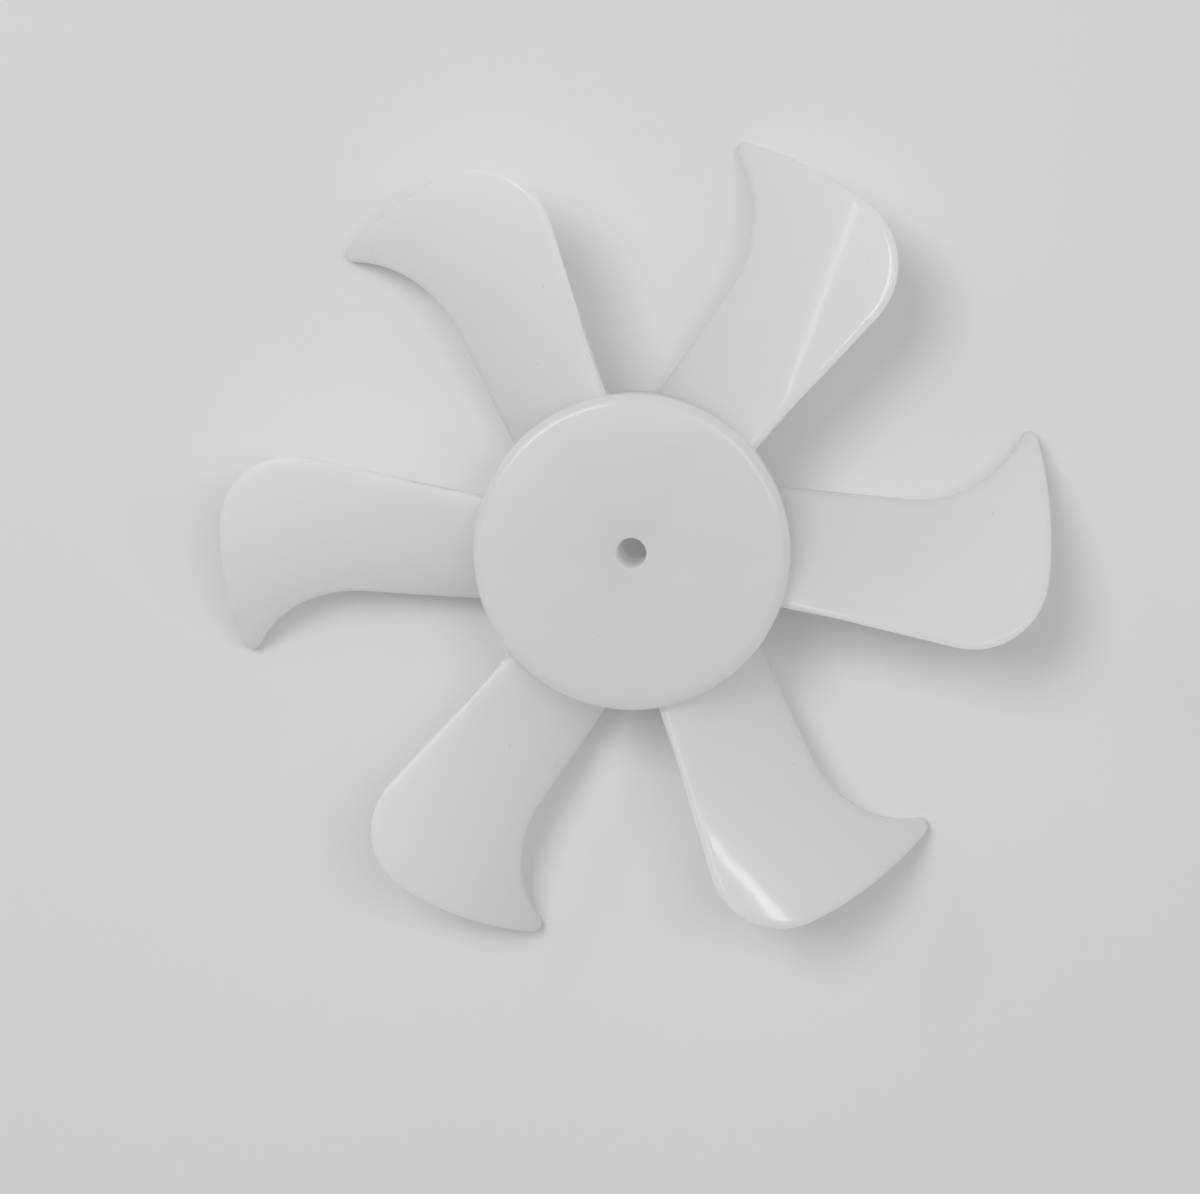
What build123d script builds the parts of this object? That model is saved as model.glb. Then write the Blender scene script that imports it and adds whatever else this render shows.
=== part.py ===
from build123d import *
import os
from math import atan2, cos, radians, sin, sqrt, tan

# Axial fan impeller, moulded in one piece: a closed round hub and six swept blades.
# Millimetres, +Z up. The origin is on the shaft axis, in the plane that the blade tips
# stand on, and the closed face of the hub looks up.

# Whole impeller
fan_diameter = 88.9
blade_count = 6

# Hub: a round cup, closed above and open below
hub_diameter = 33.0
hub_height = 15.8
hub_edge_radius = 1.1
face_thickness = 1.8
skirt_thickness = 1.4
skirt_draft = 0.8
inside_corner_bevel = 0.8
rim_edge_bevel = 0.3

# Shaft boss and the ribs that carry it inside the cup
bore_diameter = 3.175
bore_chamfer = 0.3
boss_diameter = 8.0
boss_length = 13.5
boss_draft = 1.0
rib_count = 6
rib_thickness = 1.1
rib_depth_at_boss = 11.0
rib_depth_at_skirt = 7.5

# Blade section: an arc that slopes down from the leading edge to the trailing edge
camber_radius = 42.0
root_pitch = 39.5
tip_pitch = 30.5
lead_thickness = 1.7
trail_thickness = 0.95
root_added_thickness = 0.25
root_drop = 6.1
tip_drop = 4.4

# Blade outline, seen along the axis with the blade pointing along +X
lead_root_offset = 5.8
lead_sweep = 13.0
lead_corner_radius = 8.0
trail_root_offset = 6.0
trail_taper = 4.7
tip_angle = 17.8
trail_sweep_radius = 13.0
tip_radius = 0.8
rim_arc_shift = 2.4

# Bevel above and a small break below, all round the blade
upper_edge_bevel = 0.35
lower_edge_break = 0.15

# Reach of the blade blank past its outline
blank_margin = 4.0
blank_lead_turn = 24.0
blank_trail_turn = 38.0

fan_radius = fan_diameter / 2
hub_radius = hub_diameter / 2
bore_radius = bore_diameter / 2
boss_radius = boss_diameter / 2
draft_slope = tan(radians(skirt_draft))
rim_radius = hub_radius - hub_height * draft_slope
skirt_inside_radius = rim_radius - skirt_thickness
face_inside_radius = skirt_inside_radius - (hub_height - face_thickness) * draft_slope
root_radius = rim_radius - skirt_thickness / 2


def corners_at(sketch, points):
    """The corners of a sketch nearest to the given points."""
    return [sketch.vertices().sort_by_distance(point)[0] for point in points]


def hub_cup():
    """Cup and boss as one turned profile, with the closed face in the plane Z = 0."""
    boss_end_radius = boss_radius - (boss_length - face_thickness) * tan(radians(boss_draft))
    face_edge = (hub_radius, 0)
    rim_outside = (rim_radius, -hub_height)
    rim_inside = (skirt_inside_radius, -hub_height)
    face_inside = (face_inside_radius, -face_thickness)
    boss_start = (boss_radius, -face_thickness)
    boss_end = (boss_end_radius, -boss_length)
    bore_top = (bore_radius, 0)
    bore_end = (bore_radius, -boss_length)
    with BuildSketch() as profile:
        with BuildLine():
            Polyline(
                bore_top, face_edge, rim_outside, rim_inside,
                face_inside, boss_start, boss_end, bore_end, close=True,
            )
        make_face()
        fillet(corners_at(profile, [face_edge]), hub_edge_radius)
        chamfer(corners_at(profile, [face_inside]), inside_corner_bevel)
        chamfer(corners_at(profile, [rim_outside, rim_inside, boss_end]), rim_edge_bevel)
        chamfer(corners_at(profile, [bore_top, bore_end]), bore_chamfer)
    turned = revolve(Plane.XZ * profile.sketch, Axis.Z)
    half_blade_step = 180 / blade_count
    return Rot(Z=half_blade_step) * turned


def rib():
    """One upright rib from the boss to the skirt, deeper at the boss."""
    inner = (bore_radius + boss_radius) / 2
    outer = (root_radius + skirt_inside_radius) / 2
    top = -face_thickness / 2
    outline = [(inner, top), (outer, top), (outer, -rib_depth_at_skirt), (inner, -rib_depth_at_boss)]
    side = make_face(Polyline(*outline, close=True))
    return extrude(Plane.XZ * side, rib_thickness / 2, both=True)


def share_at(radius):
    """Share of the way from the hub to the tip circle."""
    return (radius - hub_radius) / (fan_radius - hub_radius)


def section_point(radius, turn, depth):
    """Point at a turn along the section's arc and a depth below its upper side."""
    share = share_at(radius)
    pitch = radians(root_pitch + (tip_pitch - root_pitch) * share)
    drop = root_drop + (tip_drop - root_drop) * share
    slope = pitch + radians(turn)
    arm = camber_radius - depth
    across = arm * sin(slope) - camber_radius * sin(pitch)
    height = arm * cos(slope) - camber_radius * cos(pitch) - drop
    return Vector(radius, across, height)


def blade_section(radius):
    """Closed section of the blank, square to the blade, thick in front and thin behind."""
    added = root_added_thickness * (1 - share_at(radius))
    middle_thickness = (lead_thickness + trail_thickness) / 2
    turns = (-blank_lead_turn, 0, blank_trail_turn)
    depths = (lead_thickness, middle_thickness, trail_thickness)
    upper = [section_point(radius, turn, 0) for turn in turns]
    lower = [section_point(radius, turn, depth + added) for turn, depth in zip(turns, depths)]
    upper_arc = Edge.make_three_point_arc(*upper)
    lower_arc = Edge.make_three_point_arc(*reversed(lower))
    trail_end = Edge.make_line(upper[-1], lower[-1])
    lead_end = Edge.make_line(lower[0], upper[0])
    return Face(Wire([upper_arc, trail_end, lower_arc, lead_end]))


def blade_blank():
    """Twisted, cambered plate, larger than the blade, lofted through three sections."""
    inner = root_radius - blank_margin
    outer = fan_radius + blank_margin
    radii = (inner, (inner + outer) / 2, outer)
    return loft([blade_section(radius) for radius in radii])


def angle_of(vector):
    """Direction of a flat vector, in radians from the X axis."""
    return atan2(vector.Y, vector.X)


def on_circle(center, radius, angle):
    """Point on a circle at an angle in radians."""
    return center + Vector(radius * cos(angle), radius * sin(angle))


def trailing_side():
    """Root point, straight end, middle of the sweep and tip of the trailing side."""
    along = Vector(cos(radians(trail_taper)), -sin(radians(trail_taper)))
    outward = Vector(sin(radians(trail_taper)), cos(radians(trail_taper)))
    root = Vector(hub_radius, trail_root_offset)
    tip = on_circle(Vector(0, 0), fan_radius, radians(tip_angle))
    rise = (tip - root).dot(outward)
    straight_run = (tip - root).dot(along) - sqrt(rise * (2 * trail_sweep_radius - rise))
    straight_end = root + along * straight_run
    center = straight_end + outward * trail_sweep_radius
    middle_angle = (angle_of(tip - center) + angle_of(-outward)) / 2
    middle = on_circle(center, trail_sweep_radius, middle_angle)
    return root, straight_end, middle, tip


def leading_side(tip):
    """Leading root, then the ends and middles of the corner arc and of the rim arc."""
    rim_center = Vector(0, rim_arc_shift)
    rim_arc_radius = (tip - rim_center).length
    along = Vector(cos(radians(lead_sweep)), -sin(radians(lead_sweep)))
    inward = Vector(sin(radians(lead_sweep)), cos(radians(lead_sweep)))
    root = Vector(hub_radius, -lead_root_offset)
    offset_root = root + inward * lead_corner_radius - rim_center
    reach = rim_arc_radius - lead_corner_radius
    forward = offset_root.dot(along)
    run = sqrt(forward**2 - offset_root.dot(offset_root) + reach**2) - forward
    center = rim_center + offset_root + along * run
    corner_start = center - inward * lead_corner_radius
    end_angle = angle_of(center - rim_center)
    corner_end = on_circle(rim_center, rim_arc_radius, end_angle)
    corner_middle = on_circle(center, lead_corner_radius, (angle_of(-inward) + end_angle) / 2)
    rim_angle = (end_angle + angle_of(tip - rim_center)) / 2
    rim_middle = on_circle(rim_center, rim_arc_radius, rim_angle)
    return root, corner_start, corner_middle, corner_end, rim_middle


def blade_outline():
    """Flat outline: straight leading edge, round corner, and a claw at the trailing tip."""
    trail_root, straight_end, sweep_middle, tip = trailing_side()
    lead_root, corner_start, corner_middle, corner_end, rim_middle = leading_side(tip)
    reach_inside = blank_margin + skirt_thickness
    lead_inner = lead_root + (lead_root - corner_start).normalized() * reach_inside
    trail_inner = trail_root + (trail_root - straight_end).normalized() * reach_inside
    with BuildSketch() as outline:
        with BuildLine():
            Line(lead_inner, corner_start)
            ThreePointArc(corner_start, corner_middle, corner_end)
            ThreePointArc(corner_end, rim_middle, tip)
            ThreePointArc(tip, sweep_middle, straight_end)
            Line(straight_end, trail_inner)
            Line(trail_inner, lead_inner)
        make_face()
        fillet(corners_at(outline, [tip]), tip_radius)
        Circle(root_radius, mode=Mode.SUBTRACT)
    return outline.sketch


def outer_edges(plate, side):
    """Edges round the plate's upper (+1) or lower (-1) face, without the one at the root."""
    half = 0.5
    faces = plate.faces().filter_by(lambda face: side * face.normal_at().Z > half)
    beside_root = root_radius + skirt_thickness / 2
    return faces.edges().filter_by(lambda edge: edge.center().length > beside_root)


def blade():
    """One blade: the blank cut to its outline, bevelled above and broken below."""
    depth = camber_radius
    cutter = extrude(Pos(0, 0, -depth) * blade_outline(), 2 * depth)
    plate = blade_blank() & cutter
    plate = chamfer(outer_edges(plate, 1), upper_edge_bevel)
    return chamfer(outer_edges(plate, -1), lower_edge_break)


def impeller():
    """Hub, ribs and blades fused, then stood on the blade tips."""
    body = hub_cup()
    body += PolarLocations(0, rib_count) * rib()
    body += PolarLocations(0, blade_count) * blade()
    return Pos(0, 0, -body.bounding_box().min.Z) * body


os.makedirs("parts", exist_ok=True)
fan = impeller()
export_step(fan, "parts/fan_impeller.step")
box = fan.bounding_box()
print("size", box.size)
print("hub face at", box.max.Z, "rim at", box.max.Z - hub_height)
print("boss end at", box.max.Z - boss_length)
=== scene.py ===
# %% [markdown]
# An axial fan impeller of milky natural plastic, moulded in one piece. It lies on a pale
# floor with its closed hub face up and stands on the hooked tips of its six blades.
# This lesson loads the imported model, which fixes the size and the place of everything,
# and then makes the moulding again as a smooth mesh: a turned hub, six swept blades and
# six ribs, joined into one closed skin. After that come the plastic, the floor, the
# lamps and the camera.

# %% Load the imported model
from math import acos, atan2, cos, pi, radians, sin, sqrt, tan

import bpy
from mathutils import Euler, Matrix, Vector


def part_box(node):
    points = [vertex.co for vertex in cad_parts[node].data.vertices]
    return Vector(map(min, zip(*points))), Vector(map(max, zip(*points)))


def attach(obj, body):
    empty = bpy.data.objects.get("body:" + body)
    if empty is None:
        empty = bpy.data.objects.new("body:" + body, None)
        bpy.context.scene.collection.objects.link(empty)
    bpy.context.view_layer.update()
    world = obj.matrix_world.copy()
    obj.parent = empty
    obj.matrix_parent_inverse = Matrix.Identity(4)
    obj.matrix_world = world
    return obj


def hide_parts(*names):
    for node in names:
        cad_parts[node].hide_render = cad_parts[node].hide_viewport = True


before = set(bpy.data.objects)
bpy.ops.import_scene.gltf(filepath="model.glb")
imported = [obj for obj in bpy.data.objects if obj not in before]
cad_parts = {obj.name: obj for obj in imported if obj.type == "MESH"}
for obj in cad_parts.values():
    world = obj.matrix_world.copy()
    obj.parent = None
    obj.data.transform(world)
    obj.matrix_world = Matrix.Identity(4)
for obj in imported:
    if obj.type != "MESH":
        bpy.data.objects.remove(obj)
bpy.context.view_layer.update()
node_name = "fan_impeller"
face_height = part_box(node_name)[1].z

# %% [markdown]
# The real impeller comes out of a mould, so a handful of sizes says all there is to say
# about it. They are written once here, in millimetres turned into metres, and every
# shape below is worked out from them. Heights are counted down from the hub's face,
# because the blades, the ribs and the boss all hang from it.

# %% Sizes of the moulding
mm = 0.001
fan_radius = 44.45 * mm
blade_count = 6

hub_radius = 16.5 * mm
hub_depth = 15.8 * mm
hub_edge_radius = 1.1 * mm
face_thickness = 1.8 * mm
skirt_thickness = 1.4 * mm
skirt_draft = radians(0.8)
inside_radius = 0.8 * mm
rim_edge_radius = 0.3 * mm

bore_radius = 1.5875 * mm
bore_edge_radius = 0.15 * mm
boss_radius = 4.0 * mm
boss_depth = 13.5 * mm
boss_draft = radians(1.0)
rib_count = 6
rib_thickness = 1.1 * mm
rib_depth_at_boss = 11.0 * mm
rib_depth_at_skirt = 7.5 * mm

rim_radius = hub_radius - hub_depth * tan(skirt_draft)
skirt_inside = rim_radius - skirt_thickness
root_radius = rim_radius - skirt_thickness / 2
print("hub", 2 * hub_radius / mm, "mm, swept circle", 2 * fan_radius / mm, "mm")

# %% [markdown]
# Node trees are drawn as Python expressions. A Wire is one socket of a tree, and
# arithmetic on wires adds Math nodes, so a formula reads as it would on paper. A Board is
# a tree under construction: its one method `node` adds any node from its type, its
# settings and the values or wires of its sockets.

# %% Wires and boards
# Points nearer to each other than this are one point
seam_reach = 0.0002 * mm

# Share of a fillet's radius that is drawn, so that it doesn't run out to a knife edge
fillet_reach = 0.95


class Wire:
    """A socket of a node tree that takes part in arithmetic."""

    def __init__(self, board, socket):
        self.board = board
        self.socket = socket

    def __add__(self, other):
        return self.board.math("ADD", self, other)

    def __radd__(self, other):
        return self.board.math("ADD", other, self)

    def __sub__(self, other):
        return self.board.math("SUBTRACT", self, other)

    def __rsub__(self, other):
        return self.board.math("SUBTRACT", other, self)

    def __mul__(self, other):
        return self.board.math("MULTIPLY", self, other)

    def __rmul__(self, other):
        return self.board.math("MULTIPLY", other, self)

    def __truediv__(self, other):
        return self.board.math("DIVIDE", self, other)

    def __rtruediv__(self, other):
        return self.board.math("DIVIDE", other, self)

    def __pow__(self, other):
        return self.board.math("POWER", self, other)

    def output(self, name):
        """Another output of the node that this wire leaves."""
        return Wire(self.board, self.socket.node.outputs[name])


class Board:
    """A node tree under construction."""

    def __init__(self, tree):
        self.tree = tree
        self.entries = None

    def node(self, kind, settings=None, sockets=None, output=0):
        """Adds a node: its settings first, then the values or wires of its sockets."""
        node = self.tree.nodes.new(kind)
        for name, setting in (settings or {}).items():
            setattr(node, name, setting)
        for key, given in (sockets or {}).items():
            several = given if isinstance(given, list) else [given]
            for value in several:
                if isinstance(value, Wire):
                    self.tree.links.new(value.socket, node.inputs[key])
                else:
                    node.inputs[key].default_value = value
        return Wire(self, node.outputs[output]) if node.outputs else node

    def math(self, operation, *values):
        kind = "ShaderNodeMath"
        return self.node(kind, {"operation": operation}, dict(enumerate(values)))

    def entry(self, name, kind, value=None):
        """A named input of the tree."""
        socket = self.tree.interface.new_socket(name, in_out="INPUT", socket_type=kind)
        if value is not None:
            socket.default_value = value
        if self.entries is None:
            self.entries = self.tree.nodes.new("NodeGroupInput")
        return Wire(self, self.entries.outputs[name])

    def finish(self, name, wire):
        """The tree's one output, a geometry."""
        kind = "NodeSocketGeometry"
        self.tree.interface.new_socket(name, in_out="OUTPUT", socket_type=kind)
        end = self.tree.nodes.new("NodeGroupOutput")
        self.tree.links.new(wire.socket, end.inputs[name])
        return self.tree


def geometry_board(name):
    return Board(bpy.data.node_groups.new(name, "GeometryNodeTree"))


def xyz(board, x, y, z):
    return board.node("ShaderNodeCombineXYZ", None, {"X": x, "Y": y, "Z": z})


def parts_of(board, vector):
    split = board.node("ShaderNodeSeparateXYZ", None, {0: vector})
    return split, split.output("Y"), split.output("Z")


def closed_grid(board, grid, place):
    """The grid laid at its places, with its seams closed and its faces outward."""
    laid = board.node("GeometryNodeSetPosition", None, {"Geometry": grid, "Position": place})
    sockets = {"Geometry": laid, "Distance": seam_reach}
    closed = board.node("GeometryNodeMergeByDistance", None, sockets)
    return board.node("GeometryNodeFlipFaces", None, {"Mesh": closed})


def flared(board, distance, fillet):
    """How far a fillet stands out from a plate, at a distance from the wall it meets."""
    reach = board.math("MAXIMUM", fillet * fillet_reach - distance, 0.0)
    return fillet - board.math("SQRT", fillet * fillet - reach * reach)


def eased(board, share):
    """A share of a way with its steps drawn together at both ends."""
    return 0.5 - board.math("COSINE", share * pi) * 0.5


def mixed(start, end, share):
    """A value that goes from start to end as share goes from 0 to 1."""
    return start + (end - start) * share


print("wires and boards are ready")

# %% [markdown]
# A tree works on an object through a modifier. The helper below puts a tree on an empty
# mesh object, sets its inputs by their identifiers, takes the finished mesh and drops
# the modifier, so that a plain mesh is left.

# %% Run a tree and keep its mesh
def run_tree(tree, name, inputs):
    """A new object whose mesh is what the tree makes from the given inputs."""
    piece = bpy.data.objects.new(name, bpy.data.meshes.new(name))
    bpy.context.scene.collection.objects.link(piece)
    modifier = piece.modifiers.new(name, "NODES")
    modifier.node_group = tree
    for item in tree.interface.items_tree:
        if item.in_out == "INPUT" and item.name in inputs:
            modifier[item.identifier] = inputs[item.name]
    graph = bpy.context.evaluated_depsgraph_get()
    made = bpy.data.meshes.new_from_object(piece.evaluated_get(graph))
    piece.modifiers.clear()
    piece.data = made
    return piece


def drawn(name, lines, closed=False):
    """A curve object with one straight-edged spline for each list of points."""
    data = bpy.data.curves.new(name, "CURVE")
    data.dimensions = "3D"
    for points in lines:
        spline = data.splines.new("POLY")
        spline.points.add(len(points) - 1)
        for place, point in zip(spline.points, points):
            place.co = (point[0], point[1], 0.0, 1.0)
        spline.use_cyclic_u = closed
    curve = bpy.data.objects.new(name, data)
    bpy.context.scene.collection.objects.link(curve)
    return curve


# %% [markdown]
# The hub is a cup with a boss inside: one profile turned round the shaft axis. The
# profile is drawn flat, radius across and height up, with its corners rounded. A guard
# point beside each round corner keeps the flat walls flat in the shading, and further
# points along the walls give the blades and ribs something fine to join.

# %% The hub's profile
corner_steps = 8
edge_guard = 0.25 * mm
wall_step = 0.9 * mm


def polar(center, radius, angle):
    return center + Vector((cos(angle), sin(angle))) * radius


def heading(vector):
    return atan2(vector.y, vector.x)


def arc(center, radius, start, end, steps):
    """Points of an arc, the short way round from one heading to the other."""
    turn = (end - start + pi) % (2 * pi) - pi
    return [polar(center, radius, start + turn * step / steps) for step in range(steps + 1)]


def rounded(before, corner, after, radius):
    """Points of a round corner, with a guard point on each side of it."""
    inward = (before - corner).normalized()
    outward = (after - corner).normalized()
    half = acos(max(-1.0, min(1.0, inward.dot(outward)))) / 2
    reach = radius / tan(half)
    center = corner + (inward + outward).normalized() * (radius / sin(half))
    start = corner + inward * reach
    end = corner + outward * reach
    curve = arc(center, radius, heading(start - center), heading(end - center), corner_steps)
    return [start + inward * edge_guard] + curve + [end + outward * edge_guard]


def spaced(outline, step):
    """The closed outline with further points along its long stretches."""
    points = []
    for start, end in zip(outline, outline[1:] + outline[:1]):
        parts = max(1, round((end - start).length / step))
        points.extend(start.lerp(end, part / parts) for part in range(parts))
    return points


def hub_profile():
    """Corners of the profile with the radius that each one is rounded by."""
    boss_end = boss_radius - (boss_depth - face_thickness) * tan(boss_draft)
    inside_top = skirt_inside - (hub_depth - face_thickness) * tan(skirt_draft)
    corners = [
        (bore_radius, 0.0, bore_edge_radius),
        (hub_radius, 0.0, hub_edge_radius),
        (rim_radius, -hub_depth, rim_edge_radius),
        (skirt_inside, -hub_depth, rim_edge_radius),
        (inside_top, -face_thickness, inside_radius),
        (boss_radius, -face_thickness, inside_radius / 2),
        (boss_end, -boss_depth, rim_edge_radius),
        (bore_radius, -boss_depth, bore_edge_radius),
    ]
    points = [Vector((radius, face_height + height)) for radius, height, _ in corners]
    outline = []
    for index, (_, _, radius) in enumerate(corners):
        before = points[index - 1]
        after = points[(index + 1) % len(points)]
        outline.extend(rounded(before, points[index], after, radius))
    return spaced(outline, wall_step)


profile_points = hub_profile()
hub_line = drawn("hub_profile", [profile_points], closed=True)
print("hub profile:", len(profile_points), "points")

# %% [markdown]
# Turning the profile: a grid has one row of points for each point of the profile and one
# column for each step round the axis. Each grid point asks the profile for its radius
# and height, and its column gives the angle.

# %% Turn the hub
hub_steps = 120


def turned_hub_tree(rows):
    board = geometry_board("Turned hub")
    profile = board.entry("Profile", "NodeSocketObject")
    steps = board.entry("Steps", "NodeSocketInt", hub_steps)
    shape = board.node("GeometryNodeObjectInfo", None, {"Object": profile}).output("Geometry")
    sizes = {"Size X": 1.0, "Size Y": 1.0, "Vertices X": steps + 1, "Vertices Y": rows + 1}
    grid = board.node("GeometryNodeMeshGrid", None, sizes)
    across, along, _ = parts_of(board, board.node("GeometryNodeInputPosition"))
    row = board.math("ROUND", (along + 0.5) * rows)
    index = board.math("MODULO", row, rows)
    place = board.node(
        "GeometryNodeSampleIndex",
        {"data_type": "FLOAT_VECTOR", "domain": "POINT"},
        {"Geometry": shape, "Value": board.node("GeometryNodeInputPosition"), "Index": index},
    )
    radius, height, _ = parts_of(board, place)
    angle = (across + 0.5) * (2 * pi)
    x = radius * board.math("COSINE", angle)
    y = radius * board.math("SINE", angle)
    position = xyz(board, x, y, height)
    return board.finish("Hub", closed_grid(board, grid, position))


hub_tree = turned_hub_tree(len(profile_points))
hub = run_tree(hub_tree, "hub", {"Profile": hub_line})
print("hub:", len(hub.data.vertices), "points")

# %% [markdown]
# A blade is a thin curved plate, cut to an outline that is drawn flat, as it is seen
# along the shaft. Its leading side runs straight out from the hub, turns a wide corner
# and follows the rim; its trailing side runs straight and then sweeps out into a claw.
# The two sides meet in the round tip, so one line is drawn for each of them, from the
# hub to the very end of the tip.

# %% The two sides of a blade's outline
lead_root_offset = 5.8 * mm
lead_sweep = radians(13.0)
lead_corner_radius = 8.0 * mm
trail_root_offset = 6.0 * mm
trail_taper = radians(4.7)
tip_angle = radians(17.8)
trail_sweep_radius = 13.0 * mm
tip_radius = 0.8 * mm
rim_arc_shift = 2.4 * mm
side_steps = 40


def on_root_circle(start, direction):
    """Where a straight side, drawn backwards, meets the circle inside the hub's skirt."""
    forward = start.dot(direction)
    run = sqrt(forward**2 - start.dot(start) + root_radius**2) - forward
    return start + direction * run


def blade_sides():
    """Leading and trailing side, each from the hub to the middle of the round tip."""
    along = Vector((cos(trail_taper), -sin(trail_taper)))
    outward = Vector((sin(trail_taper), cos(trail_taper)))
    root = Vector((hub_radius, trail_root_offset))
    corner = polar(Vector((0, 0)), fan_radius, tip_angle)
    rise = (corner - root).dot(outward)
    run = (corner - root).dot(along) - sqrt(rise * (2 * trail_sweep_radius - rise))
    sweep_start = root + along * run
    sweep_center = sweep_start + outward * trail_sweep_radius

    rim_center = Vector((0, rim_arc_shift))
    rim_arc_radius = (corner - rim_center).length
    gap = (rim_center - sweep_center).length
    near = rim_arc_radius - tip_radius
    far = trail_sweep_radius + tip_radius
    share = (near**2 - far**2 + gap**2) / (2 * gap)
    to_sweep = heading(sweep_center - rim_center)
    tip_center = polar(rim_center, near, to_sweep - acos(share / near))
    rim_end = heading(tip_center - rim_center)
    sweep_end = heading(tip_center - sweep_center)
    sweep_side = sweep_end + pi
    apex = rim_end + ((sweep_side - rim_end + pi) % (2 * pi) - pi) / 2

    trailing = [on_root_circle(root, along)]
    trailing += arc(sweep_center, trail_sweep_radius, heading(-outward), sweep_end, side_steps)
    trailing += arc(tip_center, tip_radius, sweep_side, apex, side_steps)

    forward = Vector((cos(lead_sweep), -sin(lead_sweep)))
    inward = Vector((sin(lead_sweep), cos(lead_sweep)))
    root = Vector((hub_radius, -lead_root_offset))
    offset_root = root + inward * lead_corner_radius - rim_center
    reach = rim_arc_radius - lead_corner_radius
    ahead = offset_root.dot(forward)
    run = sqrt(ahead**2 - offset_root.dot(offset_root) + reach**2) - ahead
    corner_center = rim_center + offset_root + forward * run
    corner_end = heading(corner_center - rim_center)
    leading = [on_root_circle(root, forward)]
    leading += arc(corner_center, lead_corner_radius, heading(-inward), corner_end, side_steps)
    leading += arc(rim_center, rim_arc_radius, corner_end, rim_end, side_steps)
    leading += arc(tip_center, tip_radius, rim_end, apex, side_steps)
    return leading, trailing


leading_line, trailing_line = blade_sides()
outline = drawn("blade_sides", [leading_line, trailing_line])
print("blade tip at", [round(value / mm, 2) for value in leading_line[-1]], "mm")

# %% [markdown]
# The plate's upper face is part of a wide arc, seen along the blade: it rises to the
# leading edge and falls to the trailing edge. The arc leans more at the hub than at the
# rim, and that is the twist. Under it the plate is thick in front and thin behind. So
# the height of both faces follows from a place in the flat drawing by a formula, and
# Geometry Nodes is the natural tool: a grid is closed into a flat tube, laid between
# the two sides, lifted by the formula, rounded along its edges and flared at the hub.

# %% A blade as a tree
camber_radius = 42.0 * mm
root_pitch = radians(39.5)
tip_pitch = radians(30.5)
root_drop = 6.1 * mm
tip_drop = 4.4 * mm

# Thickness at the middle, and how it changes with the turn along the arc, in radians
middle_thickness = 1.325 * mm
thickness_slope = -0.7676 * mm
thickness_curve = 0.3048 * mm
root_added_thickness = 0.25 * mm

upper_edge_radius = 0.75 * mm
lower_edge_radius = 0.15 * mm
root_fillet = 0.6 * mm
root_blend = 24.0
blade_columns = 36
blade_rows = 96


def edge_drop(board, distance, radius):
    """How far a round edge lies below the flat face, at a distance from the outline."""
    inside = board.math("MAXIMUM", radius - distance, 0.0)
    left = board.math("MAXIMUM", radius * radius - inside * inside, 0.0)
    return radius - board.math("SQRT", left)


def blade_faces(board, x, y):
    """Heights of the plate's upper and lower face above the floor."""
    share = (x - hub_radius) / (fan_radius - hub_radius)
    pitch = mixed(root_pitch, tip_pitch, share)
    drop = mixed(root_drop, tip_drop, share)
    lean = board.math("SINE", pitch) * camber_radius
    base = face_height - drop - board.math("COSINE", pitch) * camber_radius
    slope = board.math("ARCSINE", (y + lean) / camber_radius)
    upper = base + board.math("COSINE", slope) * camber_radius
    added = root_added_thickness * (1.0 - share)
    turn = slope - pitch
    # The thickness under a point hangs on its turn, so two rounds settle it
    for _ in range(2):
        depth = middle_thickness + turn * thickness_slope + turn * turn * thickness_curve + added
        inner = board.math("ARCSINE", (y + lean) / (camber_radius - depth))
        turn = inner - pitch
    lower = base + board.math("COSINE", inner) * (camber_radius - depth)
    return upper, lower


def sampled(board, sides, which, factor):
    """A point of one side of the outline, at a share of its length."""
    settings = {"mode": "FACTOR", "use_all_curves": False}
    sockets = {"Curves": sides, "Factor": factor, "Curve Index": which}
    return board.node("GeometryNodeSampleCurve", settings, sockets).output("Position")


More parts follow.
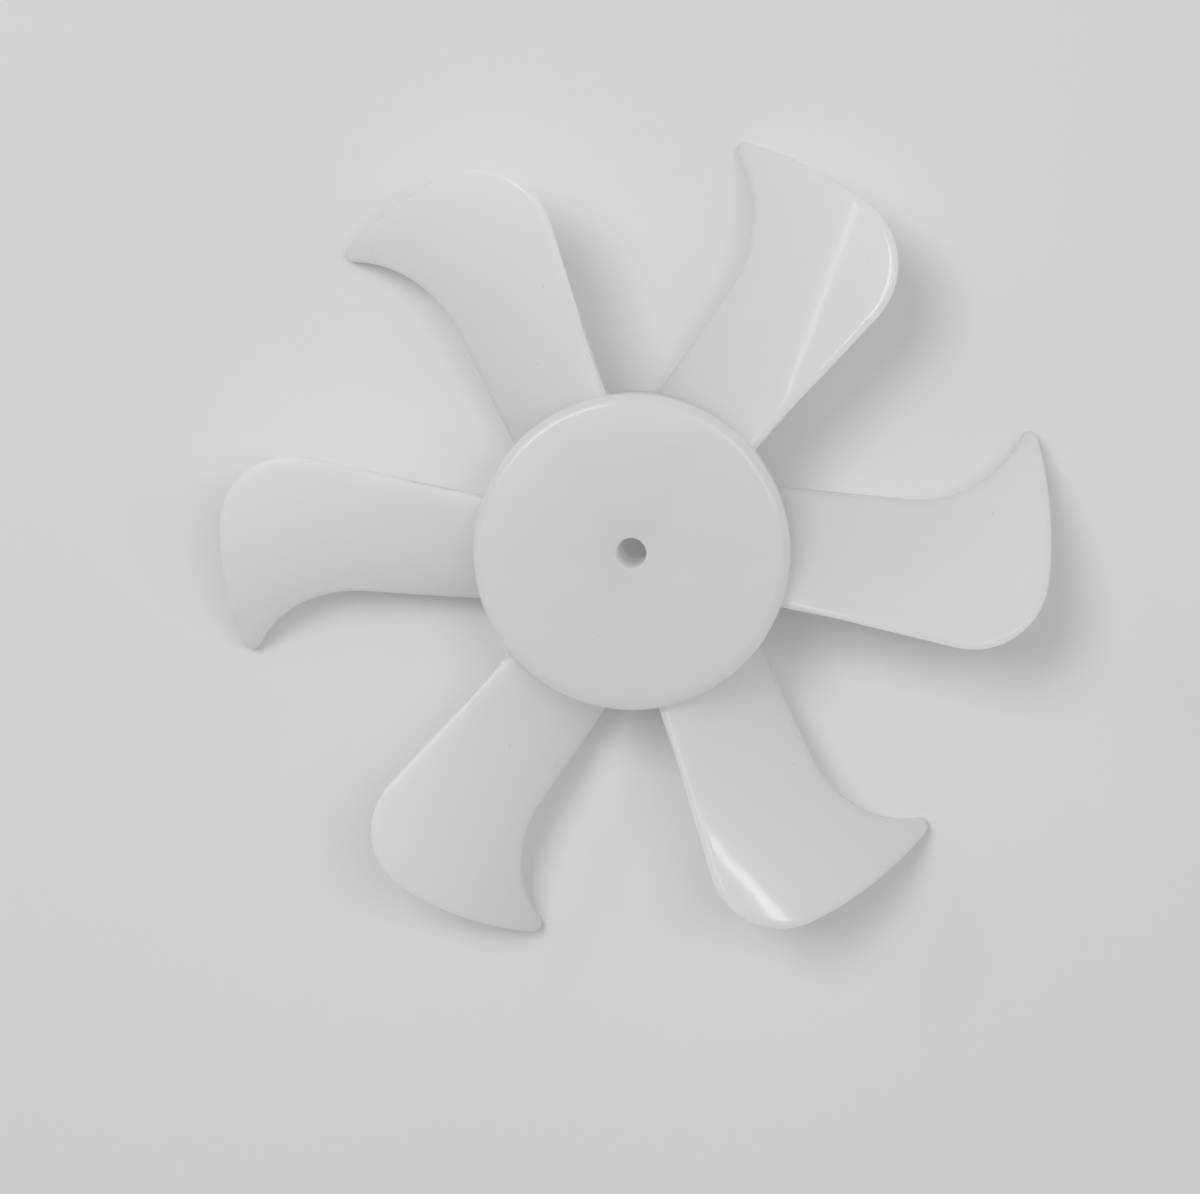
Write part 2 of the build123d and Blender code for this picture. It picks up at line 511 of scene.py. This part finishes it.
def blade_tree():
    board = geometry_board("Blade")
    sides = board.entry("Sides", "NodeSocketObject")
    upper_radius = board.entry("Upper edge radius", "NodeSocketFloat", upper_edge_radius)
    lower_radius = board.entry("Lower edge radius", "NodeSocketFloat", lower_edge_radius)
    fillet = board.entry("Root fillet", "NodeSocketFloat", root_fillet)
    lines = board.node("GeometryNodeObjectInfo", None, {"Object": sides}).output("Geometry")
    columns = 2 * blade_columns + 2
    grid = board.node("GeometryNodeMeshGrid", None, {
        "Size X": 1.0, "Size Y": 1.0,
        "Vertices X": columns + 1, "Vertices Y": blade_rows + 1,
    })
    across, along, _ = parts_of(board, board.node("GeometryNodeInputPosition"))
    column = board.math("MODULO", board.math("ROUND", (across + 0.5) * columns), columns)
    row = board.math("ROUND", (along + 0.5) * blade_rows)
    below = board.math("GREATER_THAN", column, blade_columns + 0.5)
    share = mixed(column, columns - 1 - column, below) / blade_columns
    chord_share = eased(board, share)
    span_share = eased(board, board.math("MAXIMUM", row - 1.0, 0.0) / (blade_rows - 1))
    lead_x, lead_y, _ = parts_of(board, sampled(board, lines, 0, span_share))
    trail_x, trail_y, _ = parts_of(board, sampled(board, lines, 1, span_share))
    x = mixed(lead_x, trail_x, chord_share)
    y = mixed(lead_y, trail_y, chord_share)

    # The first rows bend to the circle inside the skirt, and the bend fades outward
    bulge = board.math("SQRT", root_radius**2 - y * y) - x
    x = x + bulge * (1.0 - span_share) ** root_blend
    wires = board.node("GeometryNodeCurveToMesh", None, {"Curve": lines})
    distance = board.node(
        "GeometryNodeProximity", {"target_element": "EDGES"},
        {"Geometry": wires, "Sample Position": xyz(board, x, y, 0.0)},
    ).output("Distance")
    upper, lower = blade_faces(board, x, y)
    upper = upper - edge_drop(board, distance, upper_radius)
    lower = lower + edge_drop(board, distance, lower_radius)
    height = mixed(upper, lower, below)

    # The first row is drawn together inside the skirt and closes the tube
    capped = board.math("LESS_THAN", row, 0.5)
    cap_height = face_height - root_drop - middle_thickness
    x = mixed(x, root_radius, capped)
    y = mixed(y, 0.0, capped)
    height = mixed(height, cap_height, capped)
    plate = closed_grid(board, grid, xyz(board, x, y, height))

    # The plate swells along its normals where it comes near the hub's wall
    x, y, height = parts_of(board, board.node("GeometryNodeInputPosition"))
    wall = hub_radius - (face_height - height) * tan(skirt_draft)
    outside = board.math("SQRT", x * x + y * y) - wall
    flare = flared(board, board.math("MAXIMUM", outside, 0.0), fillet)
    normal = board.node("GeometryNodeInputNormal")
    offset = board.node("ShaderNodeVectorMath", {"operation": "SCALE"}, {0: normal, "Scale": flare})
    finished = board.node("GeometryNodeSetPosition", None, {"Geometry": plate, "Offset": offset})
    return board.finish("Blade", finished)


blade = run_tree(blade_tree(), "blade", {"Sides": outline})
print("blade:", len(blade.data.vertices), "points")

# %% [markdown]
# Inside the cup six thin upright ribs carry the boss, each deeper at the boss than at
# the skirt. A rib is the same kind of closed grid: its flat section, open at the top
# where it goes into the face, is followed from the boss to the skirt.

# %% A rib as a tree
rib_edge_radius = 0.3 * mm
rib_fillet = 0.4 * mm
rib_stations = 30
rib_levels = 11


def rib_tree():
    board = geometry_board("Rib")
    thickness = board.entry("Thickness", "NodeSocketFloat", rib_thickness)
    edge = board.entry("Lower edge radius", "NodeSocketFloat", rib_edge_radius)
    fillet = board.entry("Fillet", "NodeSocketFloat", rib_fillet)
    inner = (bore_radius + boss_radius) / 2
    outer = skirt_inside + skirt_thickness / 2
    top = face_height - face_thickness / 2
    columns = 4 * rib_levels
    grid = board.node("GeometryNodeMeshGrid", None, {
        "Size X": 1.0, "Size Y": 1.0,
        "Vertices X": columns + 1, "Vertices Y": rib_stations + 3,
    })
    across, along, _ = parts_of(board, board.node("GeometryNodeInputPosition"))
    column = board.math("MODULO", board.math("ROUND", (across + 0.5) * columns), columns)
    row = board.math("ROUND", (along + 0.5) * (rib_stations + 2))
    share = board.math("MINIMUM", board.math("MAXIMUM", row - 1.0, 0.0) / rib_stations, 1.0)
    share = eased(board, share)
    x = mixed(inner, outer, share)
    depth = mixed(rib_depth_at_boss, rib_depth_at_skirt, share)
    lower = face_height - depth

    hand = 1.0 - board.math("GREATER_THAN", column, 2 * rib_levels - 0.5) * 2.0
    level = 1.0 - board.math("ABSOLUTE", column - 2 * rib_levels) / (2 * rib_levels)
    down = board.math("SINE", level * (pi / 2))
    z = mixed(top, lower, down)
    rise = board.math("MAXIMUM", edge - (z - lower), 0.0)
    inset = edge - board.math("SQRT", board.math("MAXIMUM", edge * edge - rise * rise, 0.0))
    y = (thickness * 0.5 - inset) * hand
    wall = skirt_inside - (z - face_height + hub_depth) * tan(skirt_draft)
    to_skirt = board.math("MAXIMUM", wall - x, 0.0)
    to_boss = board.math("MAXIMUM", x - boss_radius, 0.0)
    to_face = board.math("MAXIMUM", face_height - face_thickness - z, 0.0)
    near = board.math("MINIMUM", to_skirt, to_boss)
    near = board.math("MINIMUM", near, to_face)
    y = y + flared(board, near, fillet) * hand

    # Both end rows are drawn together on the middle plane and close the tube
    first = board.math("LESS_THAN", row, 0.5)
    last = board.math("GREATER_THAN", row, rib_stations + 1.5)
    capped = first + last
    y = y * (1.0 - capped)
    z = mixed(z, (top + lower) * 0.5, capped)
    return board.finish("Rib", closed_grid(board, grid, xyz(board, x, y, z)))


rib = run_tree(rib_tree(), "rib", {})
print("rib:", len(rib.data.vertices), "points")

# %% [markdown]
# The mould makes one piece, so the hub, six turned copies of the blade and six of the
# rib are joined into one closed skin. Copies are instances on points that all lie on
# the shaft axis, each turned a step further. A Boolean union removes everything that
# lies inside, which matters for a milky plastic that lets light through.

# %% One closed skin
skin_merge = 0.002 * mm


def turned_copies(board, shape, count):
    """Copies of a shape, evenly turned round the shaft axis."""
    places = {"Count": count, "Offset": (0.0, 0.0, 0.0)}
    points = board.node("GeometryNodeMeshLine", None, places)
    turn = board.node("GeometryNodeInputIndex") * (2 * pi) / count
    sockets = {"Points": points, "Instance": shape, "Rotation": xyz(board, 0.0, 0.0, turn)}
    copies = board.node("GeometryNodeInstanceOnPoints", None, sockets)
    return board.node("GeometryNodeRealizeInstances", None, {"Geometry": copies})


def impeller_tree():
    board = geometry_board("Impeller")
    material = board.entry("Material", "NodeSocketMaterial")
    shapes = {}
    for name in ("Hub", "Blade", "Rib"):
        source = board.entry(name, "NodeSocketObject")
        info = board.node("GeometryNodeObjectInfo", None, {"Object": source})
        shapes[name] = info.output("Geometry")
    blade_number = board.entry("Blades", "NodeSocketInt", blade_count)
    rib_number = board.entry("Ribs", "NodeSocketInt", rib_count)
    blades = turned_copies(board, shapes["Blade"], blade_number)
    ribs = turned_copies(board, shapes["Rib"], rib_number)
    union = {"operation": "UNION", "solver": "MANIFOLD"}
    skin = board.node("GeometryNodeMeshBoolean", union, {"Mesh 2": [shapes["Hub"], blades, ribs]})
    sockets = {"Geometry": skin, "Distance": skin_merge}
    skin = board.node("GeometryNodeMergeByDistance", None, sockets)
    skin = board.node("GeometryNodeSetShadeSmooth", None, {"Geometry": skin})
    skin = board.node("GeometryNodeRealizeInstances", None, {"Geometry": skin})
    dressed = board.node("GeometryNodeSetMaterial", None, {"Geometry": skin, "Material": material})
    return board.finish("Impeller", dressed)


plastic = bpy.data.materials.new("natural_plastic")
moulding = run_tree(impeller_tree(), "moulded_impeller", {
    "Hub": hub, "Blade": blade, "Rib": rib, "Material": plastic,
})
for shape in (hub_line, outline, hub, blade, rib):
    bpy.data.objects.remove(shape)
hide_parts(node_name)
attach(moulding, "root")
print("impeller:", len(moulding.data.polygons), "faces")

# %% [markdown]
# The plastic is natural, without pigment, so it is milky: light goes in, spreads a
# millimetre or two and comes out again, some of it through the other side. That is why
# the shadows under the blades are pale and the bore is not black. A Principled shader
# with subsurface scattering makes the skin, and a Translucent shader mixed into it lets
# light through. The skin is as smooth as the mould, with slight waves where the plastic
# shrank, a fine grain, a few scuffs and here and there a dark speck that was moulded in.
# Those come from noise and cells on object coordinates, at the real scale.

# %% The milky plastic
milkiness = 0.68
scatter_depth = 1.6 * mm
cloud_size = 11 * mm
wave_size = 5 * mm
grain_size = 0.2 * mm
scuff_size = 1.3 * mm
scuff_level = 0.66
speck_spacing = 5 * mm
speck_radius = 0.022
speck_strength = 0.75
bump_depth = 0.1 * mm
deep_tint = (0.87, 0.895, 0.91)
light_tint = (0.915, 0.93, 0.935)
speck_tint = (0.24, 0.21, 0.18)
through_tint = (0.985, 0.99, 0.975, 1.0)


def noise(board, place, size, detail=2.0):
    """Noise whose patches are about a given size."""
    sockets = {"Vector": place, "Scale": 1.0 / size, "Detail": detail}
    return board.node("ShaderNodeTexNoise", None, sockets)


def tinted(board, share, start, end):
    """A colour between two, by a share. Each colour is written down or comes by wire."""
    mix = board.node("ShaderNodeMix", {"data_type": "RGBA"}).socket.node
    board.tree.links.new(share.socket, mix.inputs["Factor"])
    colors = [socket for socket in mix.inputs if socket.type == "RGBA"]
    for socket, given in zip(colors, (start, end)):
        if isinstance(given, Wire):
            board.tree.links.new(given.socket, socket)
        else:
            socket.default_value = (*given, 1.0)
    result = [socket for socket in mix.outputs if socket.type == "RGBA"]
    return Wire(board, result[0])


def above(board, value, level, width):
    """0 below a level, 1 above it, with a soft step."""
    sockets = {"Value": value, "From Min": level - width, "From Max": level + width}
    return board.node("ShaderNodeMapRange", {"interpolation_type": "SMOOTHSTEP"}, sockets)


def plastic_material(material):
    material.use_nodes = True
    material.node_tree.nodes.clear()
    board = Board(material.node_tree)
    place = board.node("ShaderNodeTexCoord").output("Object")
    clouds = noise(board, place, cloud_size)
    waves = noise(board, place, wave_size, 1.0)
    grain = noise(board, place, grain_size, 3.0)
    scuffs = above(board, noise(board, place, scuff_size, 6.0), scuff_level, 0.05)
    cells = {"Vector": place, "Scale": 1.0 / speck_spacing}
    spots = board.node("ShaderNodeTexVoronoi", None, cells).output("Distance")
    specks = 1.0 - above(board, spots, speck_radius, 0.008)
    color = tinted(board, clouds, deep_tint, light_tint)
    color = tinted(board, specks * speck_strength, color, speck_tint)
    roughness = 0.09 + clouds * 0.05 + scuffs * 0.12
    height = waves * 0.6 + grain * 0.015 + scuffs * 0.015
    bump = board.node("ShaderNodeBump", None, {
        "Height": height, "Strength": 0.25, "Distance": bump_depth,
    })
    skin = board.node("ShaderNodeBsdfPrincipled", None, {
        "Base Color": color, "Roughness": roughness, "Normal": bump, "IOR": 1.5,
        "Specular IOR Level": 0.6,
        "Subsurface Weight": 0.6, "Subsurface Radius": (1.0, 0.97, 0.9),
        "Subsurface Scale": scatter_depth,
    })
    through = board.node("ShaderNodeBsdfTranslucent", None, {"Color": through_tint})
    both = board.node("ShaderNodeMixShader", None, {0: milkiness, 1: skin, 2: through})
    board.node("ShaderNodeOutputMaterial", None, {"Surface": both})


plastic_material(plastic)
print("plastic:", len(plastic.node_tree.nodes), "nodes")

# %% [markdown]
# A plain pale floor, wide enough to fill the view, and soft studio light. The short
# shadows on both sides of the object say that two soft lamps hang almost overhead, the
# stronger one a little to the left. A thin strip and a small lamp, both weak, stand
# lower down and only draw the slim highlights on two of the blades.

# %% Floor and light
floor_reach = 1.5
floor_patch = 160 * mm
floor_dark = (0.665, 0.665, 0.655)
floor_light = (0.70, 0.70, 0.69)
lamp_distance = 0.8
sky_strength = 0.41


def floor_material():
    material = bpy.data.materials.new("pale_floor")
    material.use_nodes = True
    material.node_tree.nodes.clear()
    board = Board(material.node_tree)
    place = board.node("ShaderNodeTexCoord").output("Object")
    color = tinted(board, noise(board, place, floor_patch), floor_dark, floor_light)
    surface = board.node("ShaderNodeBsdfPrincipled", None, {"Base Color": color, "Roughness": 0.75})
    board.node("ShaderNodeOutputMaterial", None, {"Surface": surface})
    return material


def pale_floor():
    low, high = -floor_reach, floor_reach
    corners = [(low, low, 0), (high, low, 0), (high, high, 0), (low, high, 0)]
    mesh = bpy.data.meshes.new("floor")
    mesh.from_pydata(corners, [], [(0, 1, 2, 3)])
    mesh.materials.append(floor_material())
    floor = bpy.data.objects.new("floor", mesh)
    bpy.context.scene.collection.objects.link(floor)
    return floor


def lamp(name, direction, width, length, power, along=(0.0, 1.0, 0.0)):
    """A soft lamp that looks at the object from a direction, its length laid along."""
    data = bpy.data.lights.new(name, "AREA")
    data.shape = "RECTANGLE"
    data.size = width
    data.size_y = length
    data.energy = power
    light = bpy.data.objects.new(name, data)
    away = Vector(direction).normalized()
    side = Vector(along).cross(away).normalized()
    upright = away.cross(side)
    turn = Matrix((side, upright, away)).transposed()
    light.location = away * lamp_distance
    light.rotation_euler = turn.to_euler()
    bpy.context.scene.collection.objects.link(light)


pale_floor()
lamp("left_lamp", (-0.28, 0.30, 0.91), 0.30, 0.30, 2.35)
lamp("right_lamp", (0.27, 0.18, 0.946), 0.30, 0.30, 1.05)
lamp("strip_lamp", (-0.705, 0.41, 0.578), 0.014, 0.30, 0.19, along=(0.5, 0.866, 0.0))
lamp("small_lamp", (0.62, 0.15, 0.77), 0.05, 0.05, 0.15)
world = bpy.data.worlds.new("studio")
bpy.context.scene.world = world
world.use_nodes = True
sky = world.node_tree.nodes["Background"]
sky.inputs["Color"].default_value = (1.0, 1.0, 1.0, 1.0)
sky.inputs["Strength"].default_value = sky_strength
print("four lamps and a pale world")

# %% [markdown]
# The camera looks nearly straight down, as in the photograph, from about 37 centimetres
# above the floor, with a long lens. Its slight lean shows a little of the blades' far
# edges. The shift only centres the picture as the photograph is framed.

# %% The camera
camera_place = (0.01750, 0.02856, 0.37054)
camera_lean = (-5.518, 2.620, -0.020)
camera_data = bpy.data.cameras.new("camera")
camera_data.sensor_fit = "HORIZONTAL"
camera_data.sensor_width = 36.0
camera_data.lens = 102.78
camera_data.shift_x = -0.0364
camera_data.shift_y = 0.00855
camera_data.clip_start = 0.01
camera = bpy.data.objects.new("camera", camera_data)
camera.location = camera_place
camera.rotation_euler = Euler([radians(angle) for angle in camera_lean])
bpy.context.scene.collection.objects.link(camera)
bpy.context.scene.camera = camera
bpy.context.scene.view_settings.view_transform = "Standard"
print("camera at", list(camera.location))
